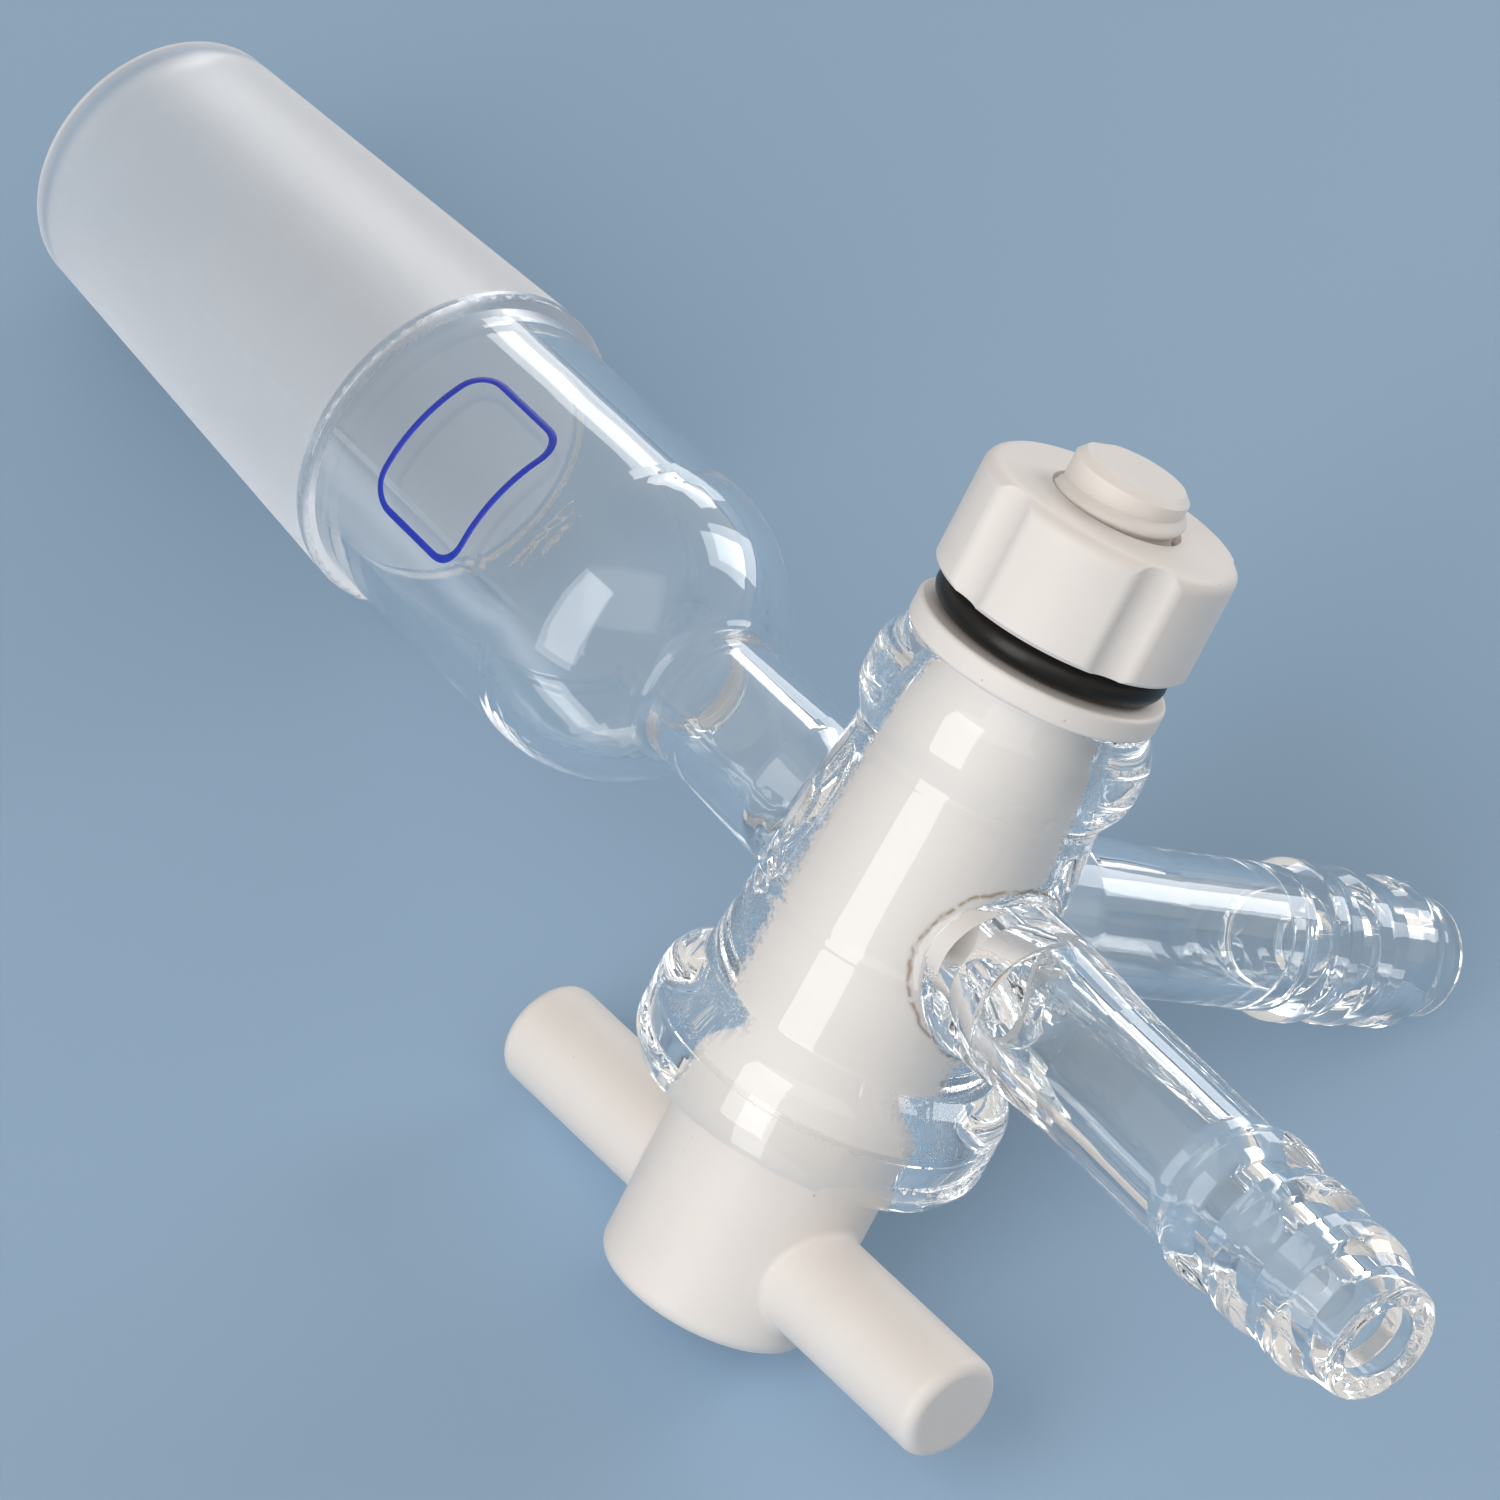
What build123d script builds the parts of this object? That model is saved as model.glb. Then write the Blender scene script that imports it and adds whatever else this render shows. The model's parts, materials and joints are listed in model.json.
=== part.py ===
from build123d import *
import os
from math import atan, sqrt, tan

# A three-way glass stopcock, in millimetres and degrees.
# One blown glass body carries a ground taper joint, a tapered barrel and two serrated hose ends.
# A white plug with a T-bar handle turns in the barrel, held by a keyed washer, a rubber ring and a fluted nut.
# It is drawn with the barrel upright along Z, the joint along -X, one hose end along +X and one along +Y.
# At the end it is laid down the way it rests on a table.

# Ground joint
joint_large_diameter = 24.0
joint_length = 40.0
joint_taper_share = 0.1
joint_wall = 1.7
joint_rim_radius = 0.75
joint_reach = 53.7

# Clear shoulder and stem between the joint and the barrel
shoulder_diameter = 22.2
shoulder_wall = 1.6
shoulder_step_radius = 0.4
shoulder_radius = 11.0
shoulder_reach = 27.6
shoulder_run = 4.0
neck_radius = 1.5
stem_neck_diameter = 9.7
stem_bore = 6.4

# Barrel, a tapered tube with a bead at each end
barrel_nut_reach = 16.3
barrel_handle_reach = 16.6
barrel_nut_diameter = 16.6
barrel_handle_diameter = 20.0
nut_bead_diameter = 18.8
nut_bead_length = 6.9
handle_bead_diameter = 24.0
handle_bead_gap = 2.4
bead_face_drop = 1.2
bead_radius = 2.4
bead_foot_radius = 0.5
bead_edge_radius = 0.5
nut_bead_crest_shares = (0.29, 0.72)
handle_bead_crest_shares = (0.20, 0.80)

# Hose ends
hose_reach = 48.1
hose_root_diameter = 10.6
hose_tube_diameter = 9.7
hose_bore = 6.9
tip_diameter = 7.9
tip_bore = 4.9
tip_length = 2.2
tip_radius = 0.5
ring_diameter = 10.8
ring_end_diameter = 10.1
ring_pitch = 4.5
ring_count = 3
ring_crest_shares = (0.28, 0.60)
ring_radius = 1.4
bore_neck_length = 3.0
arm_root_length = 3.0
arm_taper_length = 8.0
port_diameter = 4.2
weld_radius = 1.0

# Plug, hub and T-bar handle
plug_inset = 0.7
plug_small_diameter = 8.8
plug_taper_share = 0.2
plug_bore = 4.0
seat_clearance = 0.04
hub_diameter = 14.7
hub_end_length = 6.0
hub_edge_radius = 1.2
mouth_clearance = 0.3
bar_diameter = 7.3
bar_length = 42.2
bar_standoff = 7.7
bar_edge_radius = 0.9
bar_root_radius = 0.5
handle_turn = 5.0

# Threaded tail: it passes the barrel's small end, and the washer is keyed to its flat
tail_show = 2.7
tail_relief = 0.1
tail_chamfer = 0.5
tail_flat_depth = 0.7
thread_depth = 0.45

# Washer, rubber ring and nut, stacked on the tail
stack_clearance = 0.03
washer_diameter = 16.9
washer_thickness = 1.7
washer_edge_radius = 0.3
ring_seal_diameter = 15.7
ring_seal_height = 2.2
ring_seal_width = 2.8
nut_diameter = 17.2
nut_length = 7.7
nut_edge_radius = 1.0
nut_foot_edge = 0.3
thread_clearance = 0.08
flute_count = 5
flute_radius = 2.5
flute_depth = 0.6
flute_edge_radius = 1.2
flute_first_angle = -90.8

# Every cut runs past the wall by this much
overrun = 1.0

# Rounds of the search for the table that the part comes to rest on
settling_steps = 60


def turned(rows):
    """A solid of revolution about X. Each row is a place along X, a radius and the rounding of that corner."""
    points = [(along, radius) for along, radius, rounding in rows]
    roundings = [rounding for along, radius, rounding in rows]
    outline = FilletPolyline(*points, radius=roundings, close=True)
    return revolve(make_face(outline), Axis.X)


def upright(solid):
    """Turns a solid drawn along X so that it stands along Z."""
    return Rot(0, -90, 0) * solid


def rod(start, end, diameter):
    """A plain round rod along X."""
    return turned([(start, 0, 0), (start, diameter / 2, 0), (end, diameter / 2, 0), (end, 0, 0)])


# Sizes that several pieces share
joint_small_diameter = joint_large_diameter - joint_taper_share * joint_length
joint_end = joint_reach + joint_length
barrel_wall_reach = (barrel_nut_diameter + barrel_handle_diameter) / 4
arm_root = barrel_wall_reach + arm_root_length
plug_reach = barrel_nut_reach - plug_inset
hub_start = (hub_diameter - plug_small_diameter) / plug_taper_share - plug_reach
bar_reach = barrel_handle_reach + bar_standoff
hub_reach = bar_reach + hub_end_length
washer_base = barrel_nut_reach + stack_clearance
seal_base = washer_base + washer_thickness + stack_clearance
nut_base = seal_base + ring_seal_height + stack_clearance
tail_reach = nut_base + nut_length + tail_show
thread_diameter = plug_small_diameter - 2 * tail_relief
tail_diameter = thread_diameter - 2 * thread_depth
nut_bore = thread_diameter + 2 * thread_clearance


def bead_rows(face, foot, shares, crest_diameter, foot_diameter):
    """Corners of a bead, from the barrel's end face to the foot where the bead meets the barrel."""
    crest = crest_diameter / 2
    first, second = (face + share * (foot - face) for share in shares)
    return [
        (face, 0, 0),
        (face, crest - bead_face_drop, bead_edge_radius),
        (first, crest, bead_radius),
        (second, crest, bead_radius),
        (foot, foot_diameter / 2, bead_foot_radius),
    ]


def barrel_outside():
    nut_foot = barrel_nut_reach - nut_bead_length
    handle_foot = -(hose_root_diameter / 2 + weld_radius + handle_bead_gap)
    top = bead_rows(barrel_nut_reach, nut_foot, nut_bead_crest_shares, nut_bead_diameter, barrel_nut_diameter)
    base = bead_rows(-barrel_handle_reach, handle_foot, handle_bead_crest_shares, handle_bead_diameter,
                     barrel_handle_diameter)
    return upright(turned(top + base[::-1]))


def barrel_bore():
    """The tapered seat of the plug, with a plain mouth round the hub."""
    def seat_radius(along):
        return plug_small_diameter / 2 + seat_clearance + plug_taper_share / 2 * (plug_reach - along)

    small_end = barrel_nut_reach + overrun
    mouth = hub_diameter / 2 + mouth_clearance
    return upright(turned([
        (small_end, 0, 0),
        (small_end, seat_radius(small_end), 0),
        (-hub_start, seat_radius(-hub_start), 0),
        (-hub_start, mouth, 0),
        (-barrel_handle_reach - overrun, mouth, 0),
        (-barrel_handle_reach - overrun, 0, 0),
    ]))


def joint_outside():
    """Stem, domed shoulder, clear tube and ground taper, drawn along X from the barrel's axis."""
    foot = shoulder_reach - shoulder_run
    return turned([
        (0, 0, 0),
        (0, hose_root_diameter / 2, 0),
        (arm_root, hose_root_diameter / 2, 0),
        (foot, stem_neck_diameter / 2, neck_radius),
        (shoulder_reach, shoulder_diameter / 2, shoulder_radius),
        (joint_reach, shoulder_diameter / 2, 0),
        (joint_reach, joint_large_diameter / 2, shoulder_step_radius),
        (joint_end, joint_small_diameter / 2, joint_rim_radius),
        (joint_end, 0, 0),
    ])


def joint_inside():
    """The hollow of the joint: it follows the shoulder at the glass's own wall."""
    rise = shoulder_diameter / 2 - stem_neck_diameter / 2
    slope = rise / shoulder_run
    shoulder_inner = shoulder_diameter / 2 - shoulder_wall
    corner = shoulder_reach + shoulder_wall * tan(atan(slope) / 2)
    foot = corner - (shoulder_inner - stem_bore / 2) / slope
    mouth = joint_small_diameter / 2 - joint_wall
    return turned([
        (barrel_wall_reach, 0, 0),
        (barrel_wall_reach, port_diameter / 2, 0),
        (barrel_wall_reach + stem_bore / 2, stem_bore / 2, neck_radius),
        (foot, stem_bore / 2, neck_radius),
        (corner, shoulder_inner, shoulder_radius - shoulder_wall),
        (joint_reach, shoulder_inner, 0),
        (joint_end - joint_rim_radius, mouth, joint_rim_radius),
        (joint_end + overrun, mouth + joint_rim_radius + overrun, 0),
        (joint_end + overrun, 0, 0),
    ])


def hose_outside():
    """A straight tube with rounded serrations, steep towards the barrel, and a plain tip."""
    tube = hose_tube_diameter / 2
    tip_start = hose_reach - tip_length
    first_ring = tip_start - ring_count * ring_pitch
    rows = [
        (0, 0, 0),
        (0, hose_root_diameter / 2, 0),
        (arm_root, hose_root_diameter / 2, 0),
        (arm_root + arm_taper_length, tube, 0),
    ]
    for number in range(ring_count):
        start = first_ring + number * ring_pitch
        fall = (ring_diameter - ring_end_diameter) / 2 * number / (ring_count - 1)
        crest = ring_diameter / 2 - fall
        rows.append((start, tube, 0))
        rows.extend((start + share * ring_pitch, crest, ring_radius) for share in ring_crest_shares)
    rows.append((tip_start, tip_diameter / 2 + tip_radius / 2, tip_radius))
    rows.append((hose_reach, tip_diameter / 2, tip_radius))
    rows.append((hose_reach, 0, 0))
    return turned(rows)


def hose_inside():
    """The way through a hose end: port, wide tube, then the narrower bore under the serrations."""
    ring_start = hose_reach - tip_length - ring_count * ring_pitch
    return turned([
        (barrel_wall_reach, 0, 0),
        (barrel_wall_reach, port_diameter / 2, 0),
        (barrel_wall_reach + hose_bore / 2, hose_bore / 2, neck_radius),
        (ring_start - bore_neck_length / 2, hose_bore / 2, neck_radius),
        (ring_start + bore_neck_length / 2, tip_bore / 2, neck_radius),
        (hose_reach - tip_radius, tip_bore / 2, tip_radius),
        (hose_reach + overrun, tip_bore / 2 + tip_radius + overrun, 0),
        (hose_reach + overrun, 0, 0),
    ])


to_joint = Rot(0, 0, 180)
to_side = Rot(0, 0, 90)


def make_glass_body():
    """The one fused piece of glass: outsides joined and welded smooth, then the ways through."""
    body = barrel_outside()
    for arm in (to_joint * joint_outside(), hose_outside(), to_side * hose_outside()):
        joined = body + arm
        body = fillet(new_edges(body, arm, combined=joined), weld_radius)
    body -= barrel_bore()
    port = rod(0, barrel_wall_reach + overrun, port_diameter)
    for turn, inside in ((to_joint, joint_inside()), (Rot(0, 0, 0), hose_inside()), (to_side, hose_inside())):
        body -= turn * port
        body -= turn * inside
    return body


def make_plug():
    """Tapered plug with its T-shaped way through, hub, handle bar and threaded tail, in one piece."""
    tail = tail_diameter / 2
    small = plug_small_diameter / 2
    hub = hub_diameter / 2
    solid = upright(turned([
        (tail_reach, 0, 0),
        (tail_reach, tail - tail_chamfer, 0),
        (tail_reach - tail_chamfer, tail, 0),
        (plug_reach, tail, 0),
        (plug_reach, small, 0),
        (-hub_start, hub, 0),
        (-hub_reach, hub, hub_edge_radius),
        (-hub_reach, 0, 0),
    ]))
    half_bar = bar_length / 2
    bar = Pos(0, 0, -bar_reach) * turned([
        (-half_bar, 0, 0),
        (-half_bar, bar_diameter / 2, bar_edge_radius),
        (half_bar, bar_diameter / 2, bar_edge_radius),
        (half_bar, 0, 0),
    ])
    joined = solid + bar
    solid = fillet(new_edges(solid, bar, combined=joined), bar_root_radius)
    solid -= rod(-hub, hub, plug_bore)
    solid -= to_side * rod(0, hub, plug_bore)
    solid -= tail_key(0)
    return Rot(0, 0, handle_turn) * solid


def tail_key(clearance):
    """The block that the flat takes off the tail's -X side, over its whole length."""
    face = tail_diameter / 2 - tail_flat_depth + clearance
    block = Box(thread_diameter, 2 * thread_diameter, tail_reach - plug_reach + overrun,
                align=(Align.MAX, Align.CENTER, Align.MIN))
    return Pos(-face, 0, plug_reach) * block


def make_washer():
    """Flat washer with a D-shaped hole that fits the tail and its flat."""
    outer = washer_diameter / 2
    top = washer_base + washer_thickness
    disc = upright(turned([
        (washer_base, 0, 0),
        (washer_base, outer, washer_edge_radius),
        (top, outer, washer_edge_radius),
        (top, 0, 0),
    ]))
    hole = upright(rod(washer_base - overrun, top + overrun, nut_bore)) - tail_key(thread_clearance)
    return Rot(0, 0, handle_turn) * (disc - hole)


def make_o_ring():
    """Rubber ring, squeezed to an oval between the washer and the nut."""
    centre = (ring_seal_diameter / 2 - ring_seal_width / 2, seal_base + ring_seal_height / 2)
    section = Plane.XZ * Pos(*centre) * Ellipse(ring_seal_width / 2, ring_seal_height / 2)
    return revolve(section, Axis.Z)


def make_nut():
    """Round nut with shallow flutes for the fingers, soft at their edges, and a rounded top edge."""
    outer = nut_diameter / 2
    top = nut_base + nut_length
    body = upright(turned([
        (nut_base, nut_bore / 2, 0),
        (nut_base, outer - nut_foot_edge, 0),
        (nut_base + nut_foot_edge, outer, 0),
        (top, outer, nut_edge_radius),
        (top, nut_bore / 2, 0),
    ]))
    section = Circle(outer)
    for number in range(flute_count):
        angle = flute_first_angle + 360 * number / flute_count
        section -= Rot(0, 0, angle) * Pos(outer + flute_radius - flute_depth, 0) * Circle(flute_radius)
    section = fillet(section.vertices(), flute_edge_radius)
    return body & Pos(0, 0, nut_base) * extrude(section, nut_length)


def rounded_end(reach, radius, narrowing, rounding):
    """Centre distance and radius of the circle that a rounded end turns about."""
    lean = sqrt(1 + narrowing ** 2)
    return reach - rounding, radius + narrowing * rounding - lean * rounding


def resting_plane():
    """The table under the three rims that touch it: the joint's mouth, the side hose end and the hub."""
    joint_centre, joint_rim = rounded_end(joint_end, joint_small_diameter / 2, joint_taper_share / 2,
                                          joint_rim_radius)
    side_centre, side_rim = rounded_end(hose_reach, tip_diameter / 2, tip_radius / 2 / tip_length, tip_radius)
    hub_centre, hub_rim = rounded_end(hub_reach, hub_diameter / 2, 0, hub_edge_radius)
    rims = [
        (Vector(-1, 0, 0), joint_centre, joint_rim, joint_rim_radius),
        (Vector(0, 1, 0), side_centre, side_rim, tip_radius),
        (Vector(0, 0, -1), hub_centre, hub_rim, hub_edge_radius),
    ]
    up = Vector(1, -1, 1).normalized()
    for attempt in range(settling_steps):
        lows = []
        for axis, reach, radius, rounding in rims:
            outward = (axis * up.dot(axis) - up).normalized()
            lows.append(axis * reach + outward * radius - up * rounding)
        normal = (lows[1] - lows[0]).cross(lows[2] - lows[0]).normalized()
        up = normal if normal.dot(up) > 0 else normal * -1
    along = Vector(1, 0, 0) - up * up.X
    return Plane(origin=lows[0], x_dir=along, z_dir=up)


def main():
    pieces = {
        "glass_body": make_glass_body(),
        "plug": make_plug(),
        "washer": make_washer(),
        "o_ring": make_o_ring(),
        "nut": make_nut(),
    }
    lying = resting_plane().location.inverse()
    box = Compound([lying * piece for piece in pieces.values()]).bounding_box()
    to_origin = Pos(-box.center().X, -box.center().Y, -box.min.Z)
    os.makedirs("parts", exist_ok=True)
    for name, piece in pieces.items():
        export_step(to_origin * lying * piece, f"parts/{name}.step")
    frame = to_origin * lying
    print("barrel centre", tuple(frame.position))
    for name, direction in (("+X", (1, 0, 0)), ("+Y", (0, 1, 0)), ("+Z", (0, 0, 1))):
        placed = frame * Pos(*direction)
        print("drawn", name, "lies along", tuple(placed.position - frame.position))
    print("box", box.size)


main()
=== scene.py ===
# %% [markdown]
# A glass stopcock
#
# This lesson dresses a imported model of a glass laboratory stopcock. The model arrives as fixed solids:
# one piece of blown glass, a white plug with a T-bar, a washer, a rubber ring and a nut. Nothing here
# moves or resizes them. The cells add a camera, a floor, lights, one material for each real finish, and
# the few small forms that are too fine for the solids.

# %% Load the frame
import json
from math import cos, pi, radians, sin, sqrt

import bpy
from mathutils import Matrix, Quaternion, Vector


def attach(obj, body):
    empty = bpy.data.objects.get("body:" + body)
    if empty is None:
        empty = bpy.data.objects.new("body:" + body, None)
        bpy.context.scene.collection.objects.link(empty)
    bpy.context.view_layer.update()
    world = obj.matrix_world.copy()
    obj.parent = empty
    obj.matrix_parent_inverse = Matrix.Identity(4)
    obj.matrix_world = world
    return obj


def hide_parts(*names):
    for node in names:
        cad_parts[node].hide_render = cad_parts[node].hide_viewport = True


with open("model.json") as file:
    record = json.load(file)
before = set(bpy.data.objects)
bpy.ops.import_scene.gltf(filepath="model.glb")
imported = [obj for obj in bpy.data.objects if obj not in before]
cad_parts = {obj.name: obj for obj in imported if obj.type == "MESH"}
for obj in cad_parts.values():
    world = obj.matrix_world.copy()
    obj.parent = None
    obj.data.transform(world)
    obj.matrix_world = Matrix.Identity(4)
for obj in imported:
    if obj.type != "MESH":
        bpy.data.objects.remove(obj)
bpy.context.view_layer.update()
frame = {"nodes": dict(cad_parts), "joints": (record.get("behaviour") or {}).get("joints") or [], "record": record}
nodes = frame["nodes"]

# %% [markdown]
# Sizes below are in millimetres, as a glassblower would give them, in the part's own drawing: the barrel
# stands along Z with the nut at its top, the ground joint points along -X, one hose end along +X and one
# along +Y. The part lies on its side in the frame. So the drawing's axes are read from the frame's own
# joint and mounts, and one function turns a drawn place into a place in the scene.

# %% The drawing's axes in the frame
MM = 0.001
joints = {joint["name"]: joint for joint in frame["joints"]}
mounts = {mount["name"]: mount for mount in frame["record"]["mounts"]}
barrel_centre = Vector(joints["plug_turn"]["pos_m"])
hose_way = Vector(mounts["inline_hose_end"]["axis"])
side_way = Vector(mounts["side_hose_end"]["axis"])
nut_way = Vector(joints["plug_turn"]["axis"])
drawing = Matrix((hose_way, side_way, nut_way)).transposed()


def drawn(x, y, z):
    """A place in the drawing, in millimetres, as a place in the frame, in metres."""
    return barrel_centre + drawing @ Vector((x, y, z)) * MM


print("barrel centre", tuple(barrel_centre), "ways", tuple(hose_way), tuple(side_way), tuple(nut_way))

# %% [markdown]
# The camera stands where the photograph was taken from: well above the part, on the handle's side, with a
# long lens. A long lens far away keeps the tubes from spreading, as in product pictures. The roll tips
# the picture a little, because the photograph isn't level with this part.

# %% Camera
EYE = (285.0, -325.98, 151.61)
AIM = (-10.41, -7.99, 3.0)
ROLL = 8.134
LENS = 177.84
SENSOR = 36.0

camera_data = bpy.data.cameras.new("camera")
camera_data.lens = LENS
camera_data.sensor_width = SENSOR
camera = bpy.data.objects.new("camera", camera_data)
bpy.context.scene.collection.objects.link(camera)
eye = drawn(*EYE)
looking = (drawn(*AIM) - eye).normalized()
camera.location = eye
camera.rotation_mode = "QUATERNION"
camera.rotation_quaternion = looking.to_track_quat("-Z", "Y") @ Quaternion((0, 0, 1), radians(ROLL))
bpy.context.scene.camera = camera
bpy.context.scene.view_settings.view_transform = "Standard"
print("camera height", eye.z, "distance", (drawn(*AIM) - eye).length)

# %% [markdown]
# Shader maths reads best as plain Python. This small class holds one output socket of a node tree. Its
# operators add Math nodes, so `1 - mask` and `mask * 0.5` work as written, and `make` adds any other
# node: its settings are set first, then its sockets get values or links.

# %% A socket that can be calculated with
class Value:
    def __init__(self, tree, socket):
        self.tree = tree
        self.socket = socket

    def make(self, kind, settings=None, out=0, **inputs):
        """Adds a node and returns the output of that name or number. Socket names have _ for a space."""
        node = self.tree.nodes.new(kind)
        for name, setting in (settings or {}).items():
            setattr(node, name, setting)
        for name, given in inputs.items():
            socket = find_socket(node.inputs, name)
            if isinstance(given, Value):
                self.tree.links.new(given.socket, socket)
            else:
                socket.default_value = given
        return Value(self.tree, node.outputs[out])

    def maths(self, operation, first, second=0.0):
        return self.make("ShaderNodeMath", {"operation": operation}, i0=first, i1=second)

    def __add__(self, other):
        return self.maths("ADD", self, other)

    def __radd__(self, other):
        return self.maths("ADD", other, self)

    def __sub__(self, other):
        return self.maths("SUBTRACT", self, other)

    def __rsub__(self, other):
        return self.maths("SUBTRACT", other, self)

    def __mul__(self, other):
        return self.maths("MULTIPLY", self, other)

    def __rmul__(self, other):
        return self.maths("MULTIPLY", other, self)

    def __truediv__(self, other):
        return self.maths("DIVIDE", self, other)

    def __rtruediv__(self, other):
        return self.maths("DIVIDE", other, self)

    def step(self, start, end):
        """Rises smoothly from 0 at start to 1 at end."""
        return self.make("ShaderNodeMapRange", {"interpolation_type": "SMOOTHSTEP"},
                         Value=self, From_Min=start, From_Max=end)

    def length_with(self, other):
        """The long side of a right triangle with these two short sides."""
        return self.maths("SQRT", self * self + other * other)


def find_socket(sockets, name):
    """A socket by its name, or by its number where the name is i and a number."""
    if name[0] == "i" and name[1:].isdigit():
        return sockets[int(name[1:])]
    return next(socket for socket in sockets if socket.name == name.replace("_", " ") and socket.enabled)


def larger(first, second):
    return first.maths("MAXIMUM", first, second)


print("operators ready")

# %% [markdown]
# Every finish starts the same way: an empty node tree, a starting value to make nodes from, and a
# function that joins the last shader to the output. A colour has three numbers, and a Math node would
# turn it grey, so colours are blended by a Mix node.

# %% Materials and colours
MIXED_COLOUR = 2


def new_material(name):
    """An empty material, as the tree's starting value and a function that closes it."""
    material = bpy.data.materials.new(name)
    material.use_nodes = True
    tree = material.node_tree
    tree.nodes.clear()
    end = tree.nodes.new("ShaderNodeOutputMaterial")
    start = Value(tree, None)

    def close(shader):
        tree.links.new(shader.socket, end.inputs["Surface"])
        return material

    return start, close


def colour_mix(start, share, first, second):
    return start.make("ShaderNodeMix", {"data_type": "RGBA"}, out=MIXED_COLOUR,
                      i0=share, i6=first, i7=second)


def shader_mix(start, share, first, second):
    return start.make("ShaderNodeMixShader", i0=share, i1=first, i2=second)


def dress(node, material):
    """Gives a solid of the frame its finish."""
    nodes[node].data.materials.clear()
    nodes[node].data.materials.append(material)
    print("dressed", node, "with", material.name)


print("materials ready")

# %% [markdown]
# A material can ask where on the part a point lies. The solids sit at the origin of the scene with their
# places in their vertices, so Object coordinates are the frame's own metres. A dot product with each
# drawn axis turns them back into the drawing's millimetres, and then zones such as "the ground taper" are
# plain comparisons.

# %% Drawing coordinates for materials
def drawing_place(start):
    """The point's x, y and z in the drawing, in millimetres."""
    here = start.make("ShaderNodeTexCoord", out="Object")
    offset = start.make("ShaderNodeVectorMath", {"operation": "SUBTRACT"}, i0=here, i1=barrel_centre)

    def along(way):
        return start.make("ShaderNodeVectorMath", {"operation": "DOT_PRODUCT"}, out="Value",
                          i0=offset, i1=way / MM)

    return along(hose_way), along(side_way), along(nut_way)


def grain(start, size, detail=2.0, rough=0.5):
    """Noise of about this grain size in millimetres, from 0 to 1."""
    here = start.make("ShaderNodeTexCoord", out="Object")
    return start.make("ShaderNodeTexNoise", Vector=here, Scale=1 / (size * MM), Detail=detail,
                      Roughness=rough)


def banding(start, place, size, detail):
    """Noise that changes along one drawn axis only, in bands of about this size in millimetres."""
    return start.make("ShaderNodeTexNoise", {"noise_dimensions": "1D"}, W=place / size, Scale=1.0,
                      Detail=detail)


def ridge(distance, width):
    """1 at distance 0, falling smoothly to nothing within about twice the width."""
    away = distance / width
    return away.maths("EXPONENT", away * away * -1.0)


print("drawing coordinates ready")

# %% [markdown]
# The solids arrive as flat triangles with true normals at their corners. That is fine enough for white
# plastic, but clear glass bends light at every flat, and its tubes would look cut like a gem. So the
# glass is copied as a finer mesh of the same surface. An edge whose two normals differ is halved, and its
# middle is lifted onto the arc that those normals describe. Where two faces meet in a sharp line, the
# middle is lifted to where both arcs meet. A subdivision modifier could add triangles too, but it rounds
# the sharp lines off and doesn't know the true curve. The first half of the work is to read the triangles
# and find the middles.

# %% Triangles and curved edges
WELD_STEP = 1e-7
SAME_FACE = 0.99


def read_triangles(mesh):
    """Welded places, and triangles of three corners, each a place's number and a normal."""
    places, numbers, number_at = [], [], {}
    for vertex in mesh.vertices:
        key = tuple(round(part / WELD_STEP) for part in vertex.co)
        if key not in number_at:
            number_at[key] = len(places)
            places.append(vertex.co.copy())
        numbers.append(number_at[key])
    mesh.calc_loop_triangles()
    normals = mesh.corner_normals
    triangles = []
    for triangle in mesh.loop_triangles:
        corners = zip(triangle.vertices, triangle.loops)
        triangles.append(tuple((numbers[vertex], normals[loop].vector.copy()) for vertex, loop in corners))
    return places, triangles


def edges_of(corners):
    return zip(corners, corners[1:] + corners[:1])


def lifted_middle(first, second, sides):
    """An edge's middle on the curve that the normals at its ends describe, on each of its two sides."""
    chord = second - first
    lifts = [(end * chord.dot(end) - start * chord.dot(start)) / 8 for start, end in sides]
    ways = [(start + end).normalized() for start, end in sides]
    alike = ways[0].dot(ways[1])
    if abs(alike) > SAME_FACE:
        return (first + second + lifts[0] + lifts[1]) / 2
    heights = [lift.dot(way) for lift, way in zip(lifts, ways)]
    lift = ways[0] * (heights[0] - alike * heights[1]) + ways[1] * (heights[1] - alike * heights[0])
    return (first + second) / 2 + lift / (1 - alike * alike)


def middle_normal(chord, start, end):
    both = start + end
    return (both - chord * (2 * chord.dot(both) / chord.length_squared)).normalized()


glass_places, glass_triangles = read_triangles(nodes["glass_body"].data)
print("glass as it arrives:", len(glass_places), "places,", len(glass_triangles), "triangles")

# %% [markdown]
# The second half cuts the triangles. Only edges that still bend are halved, and short ones are left
# alone, so the tiny roundings don't take all the triangles. Three passes make the tubes look round. The
# copy stands in for the solid's own mesh and rides on the same body.

# %% A smoother copy of the glass
BEND_LIMIT = cos(radians(1.5))
SHORTEST_CUT = 0.7 * MM
PASSES = 3


def cut_triangle(corners, middles):
    """A triangle as a fan of smaller ones round the first new middle on its edges."""
    first = next(place for place in range(3) if middles[place])
    ring = []
    for place in (first, (first + 1) % 3, (first + 2) % 3):
        ring += [corners[place], middles[place]] if middles[place] else [corners[place]]
    ring = ring[1:] + ring[:1]
    return [(ring[0], ring[place], ring[place + 1]) for place in range(1, len(ring) - 1)]


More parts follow.
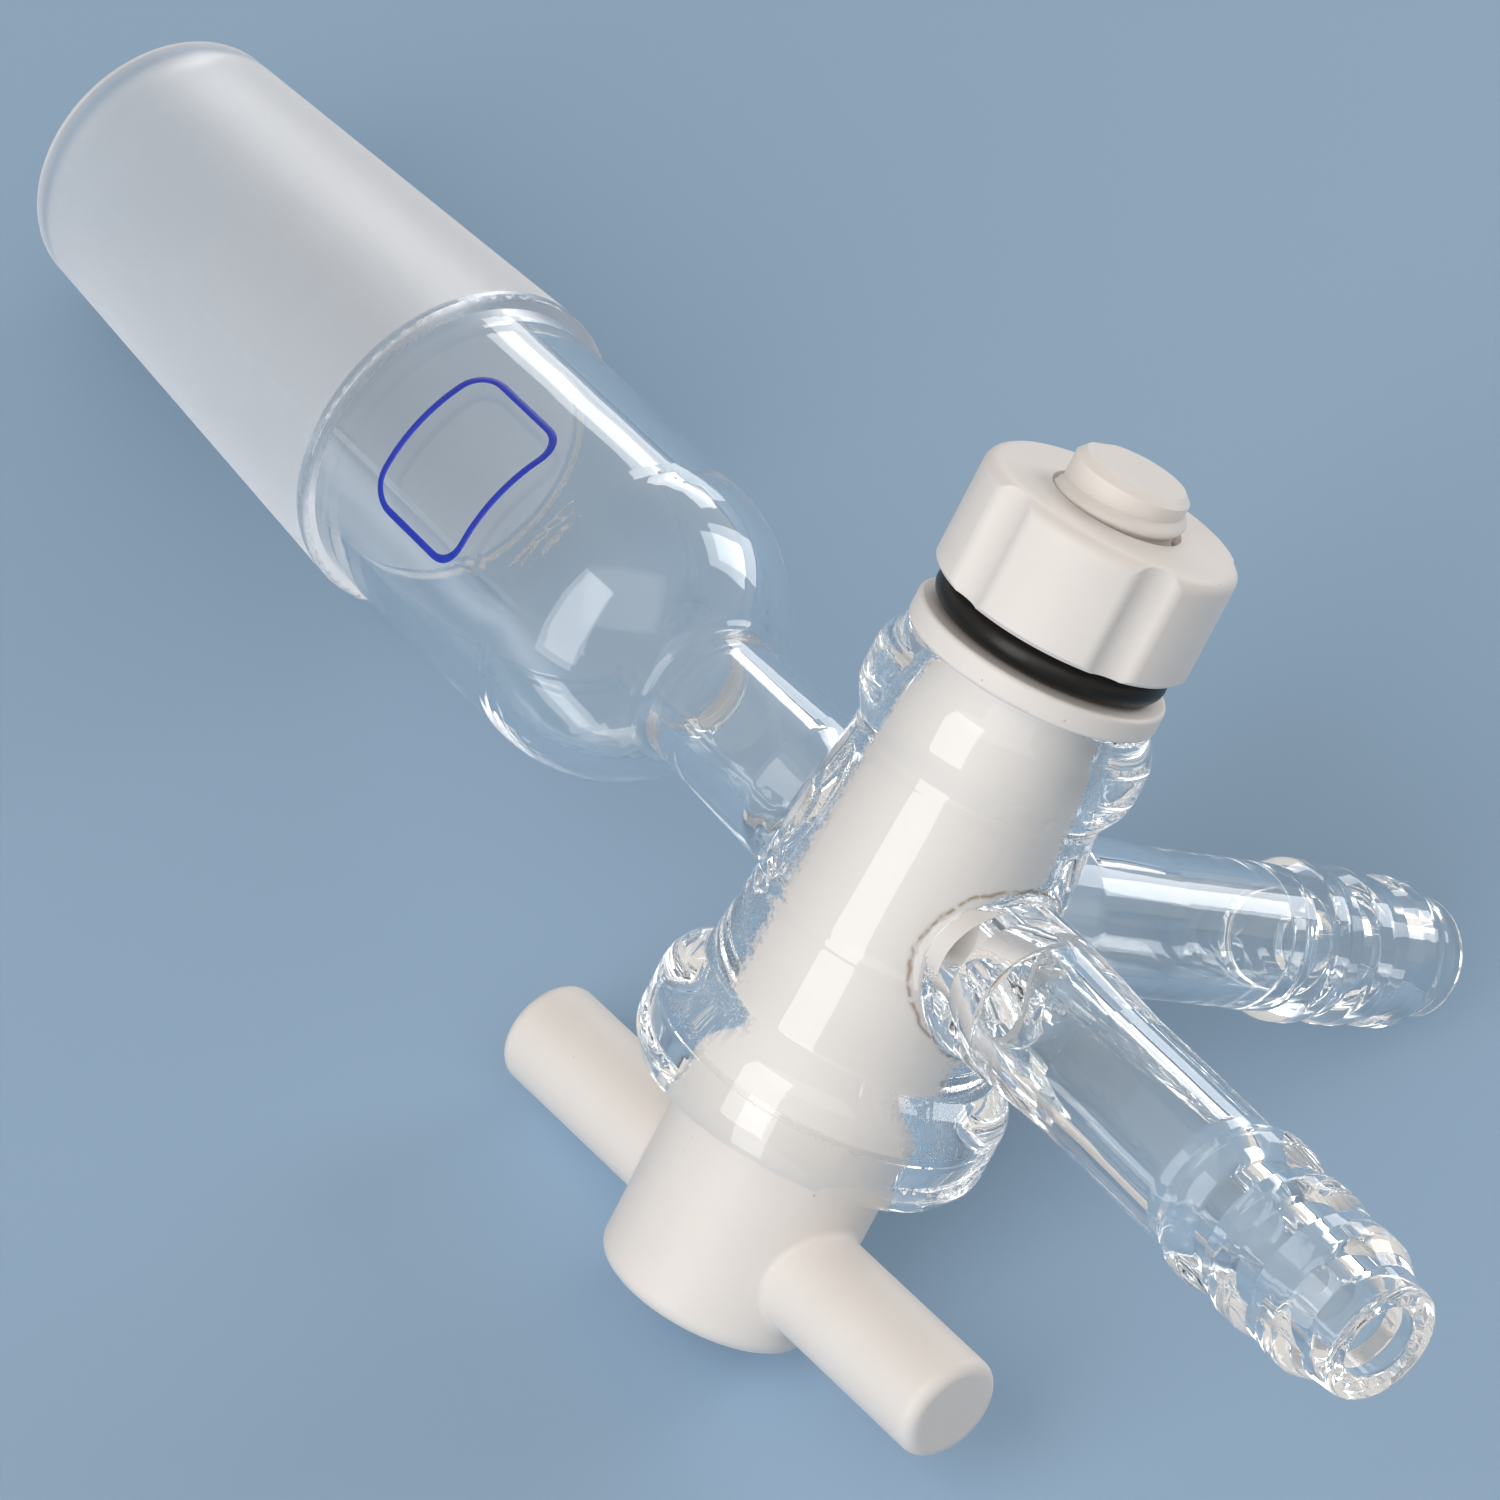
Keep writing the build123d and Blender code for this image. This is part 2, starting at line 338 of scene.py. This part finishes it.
def bent_edges(places, triangles):
    """The number of a new middle place for every edge that bends, from either end."""
    sides = {}
    for corners in triangles:
        for (a, normal_a), (b, normal_b) in edges_of(corners):
            edge, pair = ((a, b), (normal_a, normal_b)) if a < b else ((b, a), (normal_b, normal_a))
            sides.setdefault(edge, []).append(pair)
    middle_of = {}
    for (a, b), pairs in sides.items():
        bends = any(start.dot(end) < BEND_LIMIT for start, end in pairs)
        if bends and (places[a] - places[b]).length > SHORTEST_CUT:
            middle_of[a, b] = middle_of[b, a] = len(places)
            places.append(lifted_middle(places[a], places[b], pairs))
    return middle_of


def halve_bends(places, triangles):
    """Halves every edge that bends, and returns the finer triangles."""
    middle_of = bent_edges(places, triangles)
    finer = []
    for corners in triangles:
        middles = [None, None, None]
        for place, ((a, normal_a), (b, normal_b)) in enumerate(edges_of(corners)):
            if (a, b) in middle_of:
                normal = middle_normal(places[b] - places[a], normal_a, normal_b)
                middles[place] = (middle_of[a, b], normal)
        finer += cut_triangle(corners, middles) if any(middles) else [corners]
    return finer


def new_piece(name, places, faces):
    """A new smooth-shaded mesh object in the scene."""
    mesh = bpy.data.meshes.new(name)
    mesh.from_pydata(places, [], faces)
    mesh.polygons.foreach_set("use_smooth", [True] * len(mesh.polygons))
    piece = bpy.data.objects.new(name, mesh)
    bpy.context.scene.collection.objects.link(piece)
    return piece


for _ in range(PASSES):
    glass_triangles = halve_bends(glass_places, glass_triangles)
glass_faces = [[number for number, _ in corners] for corners in glass_triangles]
smooth_glass = new_piece("smooth_glass", glass_places, glass_faces)
smooth_glass.data.normals_split_custom_set([normal for corners in glass_triangles for _, normal in corners])
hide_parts("glass_body")
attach(smooth_glass, "glass")
print("smooth glass:", len(smooth_glass.data.polygons), "triangles")

# %% [markdown]
# The glass is one blown piece with more than one finish. Most of it is clear and fire polished. The taper
# is ground on its outside so that it seals in its socket, and the barrel's seat is ground on its inside.
# They could be separate meshes, but the real glass has no border there, so one material mixes shaders by
# place. First come the zones: each is a mask from 0 to 1, worked out from the drawing's millimetres.

# %% Zones of the glass
JOINT_START = -53.7
JOINT_RADIUS = 12.0
JOINT_NARROWING = 0.05
JOINT_HALF_WALL = 0.85
WALL_EDGE = 0.05
GROUND_ENDS = (0.7, 39.7)
GROUND_EDGE = 0.3
SEAT_RADIUS = 8.0
SEAT_WALL_EDGE = 0.1
SEAT_ENDS = (-13.4, 15.6)
SEAT_EDGE = 0.2


def ground_zone(depth, joint_radius):
    """The outside of the taper, from near its large end to its rim."""
    proud = joint_radius - JOINT_RADIUS + depth * JOINT_NARROWING
    outside = proud.step(-JOINT_HALF_WALL - WALL_EDGE, -JOINT_HALF_WALL + WALL_EDGE)
    begun = depth.step(GROUND_ENDS[0], GROUND_ENDS[0] + GROUND_EDGE)
    ended = depth.step(GROUND_ENDS[1], GROUND_ENDS[1] + GROUND_EDGE)
    return outside * begun * (1 - ended)


def seat_zone(barrel_radius, z):
    """The inside of the barrel, where the plug is pressed against the glass."""
    inside = 1 - barrel_radius.step(SEAT_RADIUS - SEAT_WALL_EDGE, SEAT_RADIUS)
    begun = z.step(SEAT_ENDS[0] - SEAT_EDGE, SEAT_ENDS[0])
    ended = z.step(SEAT_ENDS[1], SEAT_ENDS[1] + SEAT_EDGE)
    return inside * begun * (1 - ended)


print("ground length", GROUND_ENDS[1] - GROUND_ENDS[0], "seat length", SEAT_ENDS[1] - SEAT_ENDS[0])

# %% [markdown]
# Clear glass is drawn by what it bends and mirrors, so small unevenness matters more than colour. Blown
# glass is never quite round, so it gets a faint waviness, and the barrel has two faint rings where the
# glassblower's tool ran. Both could be cut into the mesh, but they are about a tenth of a millimetre
# high, so a Bump node tilts the normals instead. Where the front hose end is welded on, a thin broken
# line of brown stays in the glass.

# %% Clear glass and its weld
GLASS_IOR = 1.474
CLEAR_GLASS = (0.985, 0.992, 0.99, 1)
WAVE_SIZE = 6.0
WAVE_HEIGHT = 0.5
TOOL_RINGS = (-2.3, 9.0)
RING_WIDTH = 0.5
RING_HEIGHT = 1.4
BARREL_RADIUS = 10.6
BARREL_EDGE = 0.4
BUMP_UNIT = 0.1 * MM
WELD_BROWN = (0.30, 0.19, 0.10, 1)
WELD_RADIUS = 5.75
WELD_WIDTH = 0.12
WELD_WANDER = 0.5
WELD_WANDER_SIZE = 1.5
WELD_REACH = (0.7, 0.8)
WELD_START = (6.0, 7.0)
WELD_BREAK_SIZE = 0.7
WELD_BREAK_EDGE = (0.28, 0.52)


def barrel_zone(barrel_radius):
    return 1 - barrel_radius.step(BARREL_RADIUS, BARREL_RADIUS + BARREL_EDGE)


def uneven_normal(start, z, on_barrel):
    waves = grain(start, WAVE_SIZE, detail=0.0) * WAVE_HEIGHT
    rings = ridge(z - TOOL_RINGS[0], RING_WIDTH) + ridge(z - TOOL_RINGS[1], RING_WIDTH)
    return start.make("ShaderNodeBump", Strength=1.0, Distance=BUMP_UNIT,
                      Height=waves + rings * on_barrel * RING_HEIGHT)


def polished(start, tint, normal):
    return start.make("ShaderNodeBsdfPrincipled", Base_Color=tint, Roughness=0.0, IOR=GLASS_IOR,
                      Transmission_Weight=1.0, Normal=normal)


def weld_zone(x, from_weld, on_barrel):
    near = from_weld.step(-WELD_REACH[1], -WELD_REACH[0]) * (1 - from_weld.step(*WELD_REACH))
    return on_barrel * x.step(*WELD_START) * near


def weld_tint(start, from_weld):
    line = ridge(from_weld + (grain(start, WELD_WANDER_SIZE) - 0.5) * WELD_WANDER, WELD_WIDTH)
    broken = grain(start, WELD_BREAK_SIZE, detail=4.0).step(*WELD_BREAK_EDGE)
    return colour_mix(start, line * broken, CLEAR_GLASS, WELD_BROWN)


print("clear glass bends light by", GLASS_IOR)

# %% [markdown]
# Ground glass is the same glass with a surface broken by abrasive. Seen straight on it lets blurred light
# through, and seen along the surface it is a white veil. One rough glass shader could not be both, so a
# rough glass and a matt white are mixed by how shallow the view is. Seen from within the glass there is
# no veil. The rim at the small end is a bright line with a clearer band behind it. In that band the veil
# is thinner, and the glass is painted a darker blue: painted shade that stands in for the blue floor seen
# through it.

# %% Ground glass
GROUND_DARK = (0.70, 0.735, 0.78, 1)
GROUND_LIGHT = (0.95, 0.95, 0.955, 1)
GROUND_VEIL = (0.90, 0.875, 0.865, 1)
VEIL_LEAST = 0.02
VEIL_MORE = 0.62
RIM_DEPTH = 39.2
RIM_EDGE = 0.2
RIM_VEIL = 0.85
BEHIND_RIM = 38.2
BEHIND_RIM_WIDTH = 0.6
BEHIND_RIM_SHARE = 0.6
PAINTED_BLUE_BEHIND_RIM = (0.46, 0.55, 0.64, 1)
BITE_SIZE = 0.12
BITE_SHARE = 0.5
BITE_DEPTH = 0.04 * MM
CLOUD_SIZE = 5.0
CLOUD_SHARE = 0.3
STROKE_SIZE = 0.35
STROKE_SHARE = 0.2
GROUND_ROUGH_LEAST = 0.5
GROUND_ROUGH_MORE = 0.2


def rough_glass(start, x, behind_rim):
    bite = grain(start, BITE_SIZE, detail=3.0, rough=0.7)
    cloud = grain(start, CLOUD_SIZE, detail=3.0)
    strokes = banding(start, x, STROKE_SIZE, detail=3.0)
    ground = bite * BITE_SHARE + cloud * CLOUD_SHARE + strokes * STROKE_SHARE
    milk = colour_mix(start, ground, GROUND_DARK, GROUND_LIGHT)
    # The band behind the rim is painted a darker blue: painted shade standing in for the floor seen through the
    # glass.
    milk = colour_mix(start, behind_rim * BEHIND_RIM_SHARE, milk, PAINTED_BLUE_BEHIND_RIM)
    bitten = start.make("ShaderNodeBump", Strength=0.5, Distance=BITE_DEPTH, Height=bite)
    return start.make("ShaderNodeBsdfPrincipled", Base_Color=milk, IOR=GLASS_IOR, Transmission_Weight=0.82,
                      Roughness=GROUND_ROUGH_LEAST + ground * GROUND_ROUGH_MORE, Normal=bitten)


def ground_glass(start, x, depth, shallow):
    behind_rim = ridge(depth - BEHIND_RIM, BEHIND_RIM_WIDTH)
    rim = depth.step(RIM_DEPTH - RIM_EDGE, RIM_DEPTH + RIM_EDGE) * RIM_VEIL
    veiled = VEIL_LEAST + shallow * VEIL_MORE * (1 - behind_rim * BEHIND_RIM_SHARE)
    outside = 1 - start.make("ShaderNodeNewGeometry", out="Backfacing")
    veil = start.make("ShaderNodeBsdfDiffuse", Color=GROUND_VEIL)
    return shader_mix(start, larger(veiled, rim) * outside, rough_glass(start, x, behind_rim), veil)


print("ground glass shades", GROUND_DARK[:3], GROUND_LIGHT[:3])

# %% [markdown]
# The plug is drawn tight into its seat, and where soft plastic wets the ground glass no light is lost
# between them: its white shows straight through the wall, out to a ragged edge where the view gets too
# shallow. The solids keep a hair's gap there, so that the plug can turn. So the seat itself turns white
# where the view is steep enough, and keeps a speckle of small contacts beyond that.

# %% Pressed seat
PRESSED_WHITE = (0.86, 0.81, 0.765, 1)
CONTACT_EDGE = (0.31, 0.40)
CONTACT_RAGGED = 0.2
CONTACT_RAGGED_SIZE = 0.5
CONTACT_LOW_END = -12.0
CONTACT_SPREAD = 0.011
SPECKLE_SIZE = 0.16
SPECKLE_EDGE = (0.55, 0.62)
SPECKLE_SHARE = 0.65


def pressed_seat(start, z, shallow, clear):
    ragged = grain(start, CONTACT_RAGGED_SIZE, detail=4.0, rough=0.6) * CONTACT_RAGGED
    lift = (z - CONTACT_LOW_END) * CONTACT_SPREAD
    touching = 1 - (shallow + ragged - lift).step(*CONTACT_EDGE)
    speckle = grain(start, SPECKLE_SIZE).step(*SPECKLE_EDGE)
    white = start.make("ShaderNodeBsdfPrincipled", Base_Color=PRESSED_WHITE, Roughness=0.6)
    return shader_mix(start, larger(touching, speckle * SPECKLE_SHARE), clear, white)


print("seat white", PRESSED_WHITE[:3])

# %% [markdown]
# Light that falls through glass onto other things is slow to work out exactly. Here it takes a short cut:
# it passes straight, and loses more where it meets the glass at a shallow angle or the ground taper. So
# the white plug inside is lit as evenly as a real one, and the tubes' shadows are darker along their
# edges. The last function puts all the finishes of the glass together.

# %% One material for the glass
THIN_SHADE = (0.97, 0.975, 0.98, 1)
THICK_SHADE = (0.40, 0.44, 0.49, 1)
TAPER_SHADE = 0.5


def straight_through(start, shallow, taper):
    thin = start.make("ShaderNodeBsdfTransparent", Color=THIN_SHADE)
    thick = start.make("ShaderNodeBsdfTransparent", Color=THICK_SHADE)
    return shader_mix(start, larger(shallow * shallow * shallow, taper * TAPER_SHADE), thin, thick)


def blown_glass():
    start, close = new_material("blown_glass")
    x, y, z = drawing_place(start)
    joint_radius = y.length_with(z)
    barrel_radius = x.length_with(y)
    depth = JOINT_START - x
    from_weld = joint_radius - WELD_RADIUS
    on_barrel = barrel_zone(barrel_radius)
    taper = ground_zone(depth, joint_radius)
    shallow = start.make("ShaderNodeLayerWeight", out="Facing", Blend=0.5)

    normal = uneven_normal(start, z, on_barrel)
    clear = polished(start, CLEAR_GLASS, normal)
    stained = polished(start, weld_tint(start, from_weld), normal)
    body = shader_mix(start, weld_zone(x, from_weld, on_barrel), clear, stained)
    body = shader_mix(start, taper, body, ground_glass(start, x, depth, shallow))
    body = shader_mix(start, seat_zone(barrel_radius, z), body, pressed_seat(start, z, shallow, clear))
    shadow_ray = start.make("ShaderNodeLightPath", out="Is Shadow Ray")
    diffuse_ray = start.make("ShaderNodeLightPath", out="Is Diffuse Ray")
    unseen = larger(shadow_ray, diffuse_ray)
    return close(shader_mix(start, unseen, body, straight_through(start, shallow, taper)))


smooth_glass.data.materials.append(blown_glass())
print("glass material", smooth_glass.data.materials[0].name)

# %% [markdown]
# The plug, washer and nut are a waxy white plastic. It is turned on a lathe, so it keeps very fine rings
# round the axis, and light goes a little way into it, which softens its shadows. A diffuse white would
# look like chalk, so it gets a soft gloss and some scattering under the surface. A few dark specks are
# dust that the soft surface has picked up.

# %% White plastic
PLASTIC_DARK = (0.81, 0.75, 0.70, 1)
PLASTIC_LIGHT = (0.87, 0.82, 0.775, 1)
MOTTLE_SIZE = 7.0
DUST = (0.34, 0.29, 0.25, 1)
DUST_SHARE = 0.55
DUST_SIZE = 0.45
DUST_EDGE = (0.77, 0.80)
DUST_PATCH_SIZE = 4.0
DUST_PATCH_EDGE = (0.5, 0.6)
LATHE_BAND = 0.17
LATHE_DEPTH = 0.04 * MM
WAX_GRAIN_SIZE = 0.4
WAX_GRAIN_SHARE = 0.6
PLASTIC_ROUGH_LEAST = 0.42
PLASTIC_ROUGH_MORE = 0.1
LIGHT_REACH = 1.2 * MM


def white_plastic():
    start, close = new_material("white_plastic")
    z = drawing_place(start)[2]
    mottle = grain(start, MOTTLE_SIZE, detail=3.0)
    specks = grain(start, DUST_SIZE, detail=1.0).step(*DUST_EDGE)
    specks = specks * grain(start, DUST_PATCH_SIZE).step(*DUST_PATCH_EDGE)
    colour = colour_mix(start, mottle, PLASTIC_DARK, PLASTIC_LIGHT)
    colour = colour_mix(start, specks * DUST_SHARE, colour, DUST)
    turned = banding(start, z, LATHE_BAND, detail=3.0) + grain(start, WAX_GRAIN_SIZE) * WAX_GRAIN_SHARE
    bump = start.make("ShaderNodeBump", Strength=0.16, Distance=LATHE_DEPTH, Height=turned)
    roughness = PLASTIC_ROUGH_LEAST + mottle * PLASTIC_ROUGH_MORE
    return close(start.make("ShaderNodeBsdfPrincipled", Base_Color=colour, Roughness=roughness,
                            Subsurface_Weight=0.25, Subsurface_Scale=LIGHT_REACH,
                            Subsurface_Radius=(1.0, 0.9, 0.8), IOR=1.38, Normal=bump))


plastic = white_plastic()
for node in ("plug", "washer", "nut"):
    dress(node, plastic)

# %% [markdown]
# The tail of the plug carries a coarse rounded thread. The solids have its plain core, because a screw
# surface is heavy to cut, and only one turn of it shows above the nut. Here it is a ridge swept round the
# core: a row of profile points turns and climbs by one pitch a turn, and it is cut back where the tail
# has its flat.

# %% Thread on the tail
THREAD_ENDS = (18.6, 29.35)
THREAD_PITCH = 2.0
THREAD_CORE = 3.85
THREAD_DEPTH = 0.43
THREAD_HALF = 0.8
THREAD_SUNK = 0.05
FLAT_PLACE = 3.1
FLAT_ANGLE = radians(185.0)
FLAT_LEAST_FACING = 0.5
STEPS_A_TURN = 72
FADE_STEPS = 12
PROFILE_STEPS = 8


def thread_limit(angle):
    """How far out the thread may reach at this angle: to the tail's flat, or anywhere."""
    facing_flat = cos(angle - FLAT_ANGLE)
    return FLAT_PLACE / facing_flat if facing_flat > FLAT_LEAST_FACING else THREAD_CORE + THREAD_DEPTH


def thread_rows():
    """Profile points in the frame, one row for each step along the thread."""
    turns = (THREAD_ENDS[1] - THREAD_ENDS[0]) / THREAD_PITCH
    steps = int(turns * STEPS_A_TURN)
    for step in range(steps + 1):
        angle = 2 * pi * step / STEPS_A_TURN
        height = THREAD_ENDS[0] + THREAD_PITCH * step / STEPS_A_TURN
        fade = min(1.0, step / FADE_STEPS, (steps - step) / FADE_STEPS)
        row = []
        for place in range(PROFILE_STEPS + 1):
            across = 2 * place / PROFILE_STEPS - 1
            rise = (cos(across * pi) + 1) / 2 * fade
            radius = THREAD_CORE - THREAD_SUNK + (THREAD_DEPTH + THREAD_SUNK) * rise
            radius = min(radius, thread_limit(angle))
            row.append(drawn(radius * cos(angle), radius * sin(angle), height + across * THREAD_HALF))
        yield row


def sheet_piece(name, rows):
    """A piece of quads over rows of points of one length."""
    rows = list(rows)
    width = len(rows[0])
    faces = []
    for row in range(len(rows) - 1):
        for place in range(width - 1):
            corner = row * width + place
            faces.append((corner, corner + 1, corner + width + 1, corner + width))
    return new_piece(name, [point for row in rows for point in row], faces)


tail_thread = sheet_piece("tail_thread", thread_rows())
tail_thread.data.materials.append(plastic)
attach(tail_thread, "plug")
print("thread", len(tail_thread.data.polygons), "faces")

# %% [markdown]
# The ring is black moulded rubber. It is never pure black: dust and a dull bloom lift it, and its
# highlights are broad and soft. A plain dark colour would be quicker, but it would look like a hole in
# the picture.

# %% Black rubber
RUBBER_DARK = (0.004, 0.0035, 0.003, 1)
RUBBER_BLOOM = (0.011, 0.0095, 0.008, 1)
BLOOM_SIZE = 1.6
RUBBER_GRAIN_SIZE = 0.25
RUBBER_GRAIN_DEPTH = 0.03 * MM
RUBBER_ROUGH_LEAST = 0.26
RUBBER_ROUGH_MORE = 0.14


def black_rubber():
    start, close = new_material("black_rubber")
    bloom = grain(start, BLOOM_SIZE, detail=4.0)
    colour = colour_mix(start, bloom, RUBBER_DARK, RUBBER_BLOOM)
    bump = start.make("ShaderNodeBump", Strength=0.2, Distance=RUBBER_GRAIN_DEPTH,
                      Height=grain(start, RUBBER_GRAIN_SIZE, detail=3.0))
    roughness = RUBBER_ROUGH_LEAST + bloom * RUBBER_ROUGH_MORE
    return close(start.make("ShaderNodeBsdfPrincipled", Base_Color=colour, Roughness=roughness,
                            IOR=1.5, Specular_IOR_Level=0.3, Normal=bump))


dress("o_ring", black_rubber())

# %% [markdown]
# A blank panel for pencil notes is fired onto the clear shoulder in blue enamel. It could be painted by
# the glass's material, but enamel stands a little proud and has its own gloss, so it is a thin strip of
# mesh that follows the panel's outline round the tube, a few hundredths of a millimetre above the glass.

# %% Enamel panel
PANEL_MIDDLE = -43.0
PANEL_ANGLE = radians(157.0)
PANEL_LENGTH = 9.5
PANEL_WIDTH = 11.5
PANEL_CORNER = 2.0
PANEL_LINE = 0.55
PANEL_RADIUS = 11.13
PANEL_SUNK = 0.06
LINE_SHOULDER = 0.35
CORNER_STEPS = 8
SIDE_STEPS = 24


def panel_outline():
    """Points and outward directions round a rectangle with round corners, on a flat sheet."""
    half_x = PANEL_LENGTH / 2 - PANEL_CORNER
    half_y = PANEL_WIDTH / 2 - PANEL_CORNER
    corners = ((half_x, half_y, 0), (-half_x, half_y, 90), (-half_x, -half_y, 180), (half_x, -half_y, 270))
    arcs = []
    for x, y, turn in corners:
        for step in range(CORNER_STEPS + 1):
            angle = radians(turn + 90 * step / CORNER_STEPS)
            out_x, out_y = cos(angle), sin(angle)
            arcs.append((x + PANEL_CORNER * out_x, y + PANEL_CORNER * out_y, out_x, out_y))
    points = []
    for first, second in zip(arcs, arcs[1:] + arcs[:1]):
        span = sqrt((second[0] - first[0]) ** 2 + (second[1] - first[1]) ** 2)
        pieces = SIDE_STEPS if span > PANEL_CORNER else 1
        for step in range(pieces):
            points.append(tuple(a + (b - a) * step / pieces for a, b in zip(first, second)))
    return points + points[:1]


def panel_rows():
    """The outline as a low strip of four points across, wrapped round the tube."""
    profile = ((-0.5, -PANEL_SUNK), (-LINE_SHOULDER, 0.0), (LINE_SHOULDER, 0.0), (0.5, -PANEL_SUNK))
    for x, y, out_x, out_y in panel_outline():
        row = []
        for across, height in profile:
            angle = PANEL_ANGLE + (y + out_y * across * PANEL_LINE) / PANEL_RADIUS
            along = PANEL_MIDDLE + x + out_x * across * PANEL_LINE
            radius = PANEL_RADIUS + height
            row.append(drawn(along, radius * cos(angle), radius * sin(angle)))
        yield row


enamel_panel = sheet_piece("enamel_panel", panel_rows())
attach(enamel_panel, "glass")
print("panel", len(enamel_panel.data.polygons), "faces")

# %% [markdown]
# Enamel is coloured glass powder, melted on. It is deep blue, a little uneven where the powder lay thin,
# and duller than the glass under it. A glossy flat blue would look like tape.

# %% Blue enamel
ENAMEL_DEEP = (0.004, 0.016, 0.33, 1)
ENAMEL_THIN = (0.012, 0.045, 0.55, 1)
ENAMEL_GRAIN_SIZE = 0.5
ENAMEL_GRAIN_DEPTH = 0.02 * MM
ENAMEL_ROUGH_LEAST = 0.3
ENAMEL_ROUGH_MORE = 0.2


def blue_enamel():
    start, close = new_material("blue_enamel")
    uneven = grain(start, ENAMEL_GRAIN_SIZE, detail=4.0)
    colour = colour_mix(start, uneven, ENAMEL_DEEP, ENAMEL_THIN)
    bump = start.make("ShaderNodeBump", Strength=0.3, Distance=ENAMEL_GRAIN_DEPTH, Height=uneven)
    roughness = ENAMEL_ROUGH_LEAST + uneven * ENAMEL_ROUGH_MORE
    return close(start.make("ShaderNodeBsdfPrincipled", Base_Color=colour, Roughness=roughness, Normal=bump))


enamel_panel.data.materials.append(blue_enamel())
print("enamel", enamel_panel.data.materials[0].name)

# %% [markdown]
# The floor is a plain pale sheet, a cool grey-blue so that the white plastic and the clear glass both
# stand out. It is matt: a glossy one would mirror the lamps.

# %% Floor
FLOOR_COLOUR = (0.34, 0.48, 0.64, 1)
FLOOR_SIZE = 4.0


def pale_floor():
    start, close = new_material("pale_floor")
    return close(start.make("ShaderNodeBsdfDiffuse", Color=FLOOR_COLOUR))


half = FLOOR_SIZE / 2
floor_corners = [(-half, -half, 0), (half, -half, 0), (half, half, 0), (-half, half, 0)]
floor_mesh = bpy.data.meshes.new("floor")
floor_mesh.from_pydata(floor_corners, [], [(0, 1, 2, 3)])
floor_mesh.materials.append(pale_floor())
floor = bpy.data.objects.new("floor", floor_mesh)
bpy.context.scene.collection.objects.link(floor)
print("floor", FLOOR_SIZE, "m wide")

# %% [markdown]
# Round the part is a soft, slightly warm room. Glass and gloss need a bright room to mirror, but the same
# brightness as light would wash the shadows out. So the room looks brighter to the camera, to mirrored
# rays and to rays through glass than it shines on things. Light may pass many glass walls, so the bounce
# limits are high: with low ones the thick places turn black.

# %% Room
ROOM_COLOUR = (0.92, 0.87, 0.81, 1)
ROOM_LIGHT = 0.28
ROOM_SEEN = 0.8
LIGHT_BOUNCES = 32

world = bpy.data.worlds.new("room")
world.use_nodes = True
world.node_tree.nodes.clear()
room = Value(world.node_tree, None)
seen = room.make("ShaderNodeLightPath", out="Is Camera Ray")
for ray in ("Is Glossy Ray", "Is Transmission Ray"):
    seen = larger(seen, room.make("ShaderNodeLightPath", out=ray))
room_strength = ROOM_LIGHT + seen * (ROOM_SEEN - ROOM_LIGHT)
glow = room.make("ShaderNodeBackground", Color=ROOM_COLOUR, Strength=room_strength)
world_end = world.node_tree.nodes.new("ShaderNodeOutputWorld")
world.node_tree.links.new(glow.socket, world_end.inputs["Surface"])
bpy.context.scene.world = world
bpy.context.scene.cycles.max_bounces = LIGHT_BOUNCES
bpy.context.scene.cycles.transmission_bounces = LIGHT_BOUNCES
bpy.context.scene.cycles.glossy_bounces = LIGHT_BOUNCES
print("room shines", ROOM_LIGHT, "and is seen as", ROOM_SEEN)

# %% [markdown]
# The lamps are a studio's softboxes. Clear glass is drawn by what it mirrors, so three of them stand
# where a tube mirrors them as a streak: the left one along the barrel, the right one along the side hose
# end, and the one behind along the shoulder and the front hose end. A weak broad one by the camera fills
# the shadows. Their places are measured from the camera, because a streak depends on the view.

# %% Lamps
LAMPS = {
    "left_softbox": {"right": -0.39, "up": -0.06, "back": 0.57, "width": 0.36, "height": 0.85, "power": 3.3},
    "right_softbox": {"right": 0.50, "up": 0.29, "back": -0.10, "width": 0.24, "height": 0.34, "power": 1.3},
    "back_softbox": {"right": 0.11, "up": 0.50, "back": -0.31, "width": 0.50, "height": 0.15, "power": 0.8},
    "front_softbox": {"right": 0.02, "up": 0.10, "back": 0.75, "width": 0.80, "height": 0.60, "power": 1.3},
}
camera_right = camera.rotation_quaternion @ Vector((1, 0, 0))
camera_up = camera.rotation_quaternion @ Vector((0, 1, 0))


def softbox(name, right, up, back, width, height, power):
    """A soft lamp placed from the camera's own directions, in metres from the part, and aimed at it."""
    lamp = bpy.data.lights.new(name, "AREA")
    lamp.shape = "RECTANGLE"
    lamp.size = width
    lamp.size_y = height
    lamp.energy = power
    lamp_object = bpy.data.objects.new(name, lamp)
    place = barrel_centre + camera_right * right + camera_up * up - looking * back
    lamp_object.location = place
    lamp_object.rotation_mode = "QUATERNION"
    lamp_object.rotation_quaternion = (barrel_centre - place).to_track_quat("-Z", "Y")
    bpy.context.scene.collection.objects.link(lamp_object)
    print("lamp", name, "at", tuple(round(part, 3) for part in place))


for name, lamp in LAMPS.items():
    softbox(name, **lamp)
